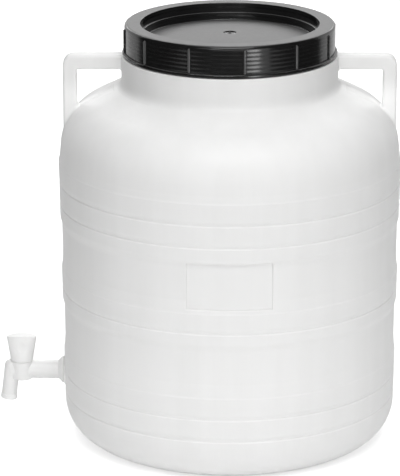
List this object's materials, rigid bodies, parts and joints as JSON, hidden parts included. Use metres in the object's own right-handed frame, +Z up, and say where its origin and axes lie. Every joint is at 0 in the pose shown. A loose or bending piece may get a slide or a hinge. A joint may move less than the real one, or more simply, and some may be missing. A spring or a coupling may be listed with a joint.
{
  "type": "wide-neck plastic barrel with tap",
  "caption": "Blown wide-neck storage barrel with belts, two moulded handles, a ribbed screw lid and a quarter-turn draw-off tap near its base.",
  "frame": {"origin": "centre of the foot ring, on the floor", "axes": "+Z up, the label panel faces -Y, the tap points to -X"},
  "size_m": [0.387, 0.3268, 0.4078],
  "materials": {
    "barrel_plastic": "natural white blown polyethylene, slightly translucent, satin",
    "lid_plastic": "black injection-moulded polyethylene, glossy",
    "gasket_foam": "soft pale sealing ring",
    "tap_plastic": "white moulded plastic, satin",
    "washer_rubber": "pale sealing washer"
  },
  "bodies": {
    "barrel": {"barrel": "barrel_plastic", "tap_body": "tap_plastic", "tap_outer_washer": "washer_rubber", "tap_inner_washer": "washer_rubber", "tap_lock_nut": "tap_plastic"},
    "lid_seal": {"lid_gasket": "gasket_foam"},
    "lid": {"screw_lid": "lid_plastic"},
    "tap_plug": {"tap_plug": "tap_plastic"}
  },
  "joints": [
    {"name": "lid_rise", "type": "slide", "parent": "barrel", "child": "lid_seal", "axis": [0, 0, 1], "range_m": [0, 0.0261]},
    {"name": "lid_turn", "type": "hinge", "parent": "lid_seal", "child": "lid", "pos_m": [0, 0, 0.39], "axis": [0, 0, 1], "range_deg": [0, 585]},
    {"name": "tap_turn", "type": "hinge", "parent": "barrel", "child": "tap_plug", "pos_m": [-0.20232, 0, 0.0727], "axis": [0, 0, 1], "range_deg": [0, 90]}
  ],
  "couplings": [
    {"joint": "lid_rise", "follows": "lid_turn", "m_per_rad": 0.0025465}
  ]
}
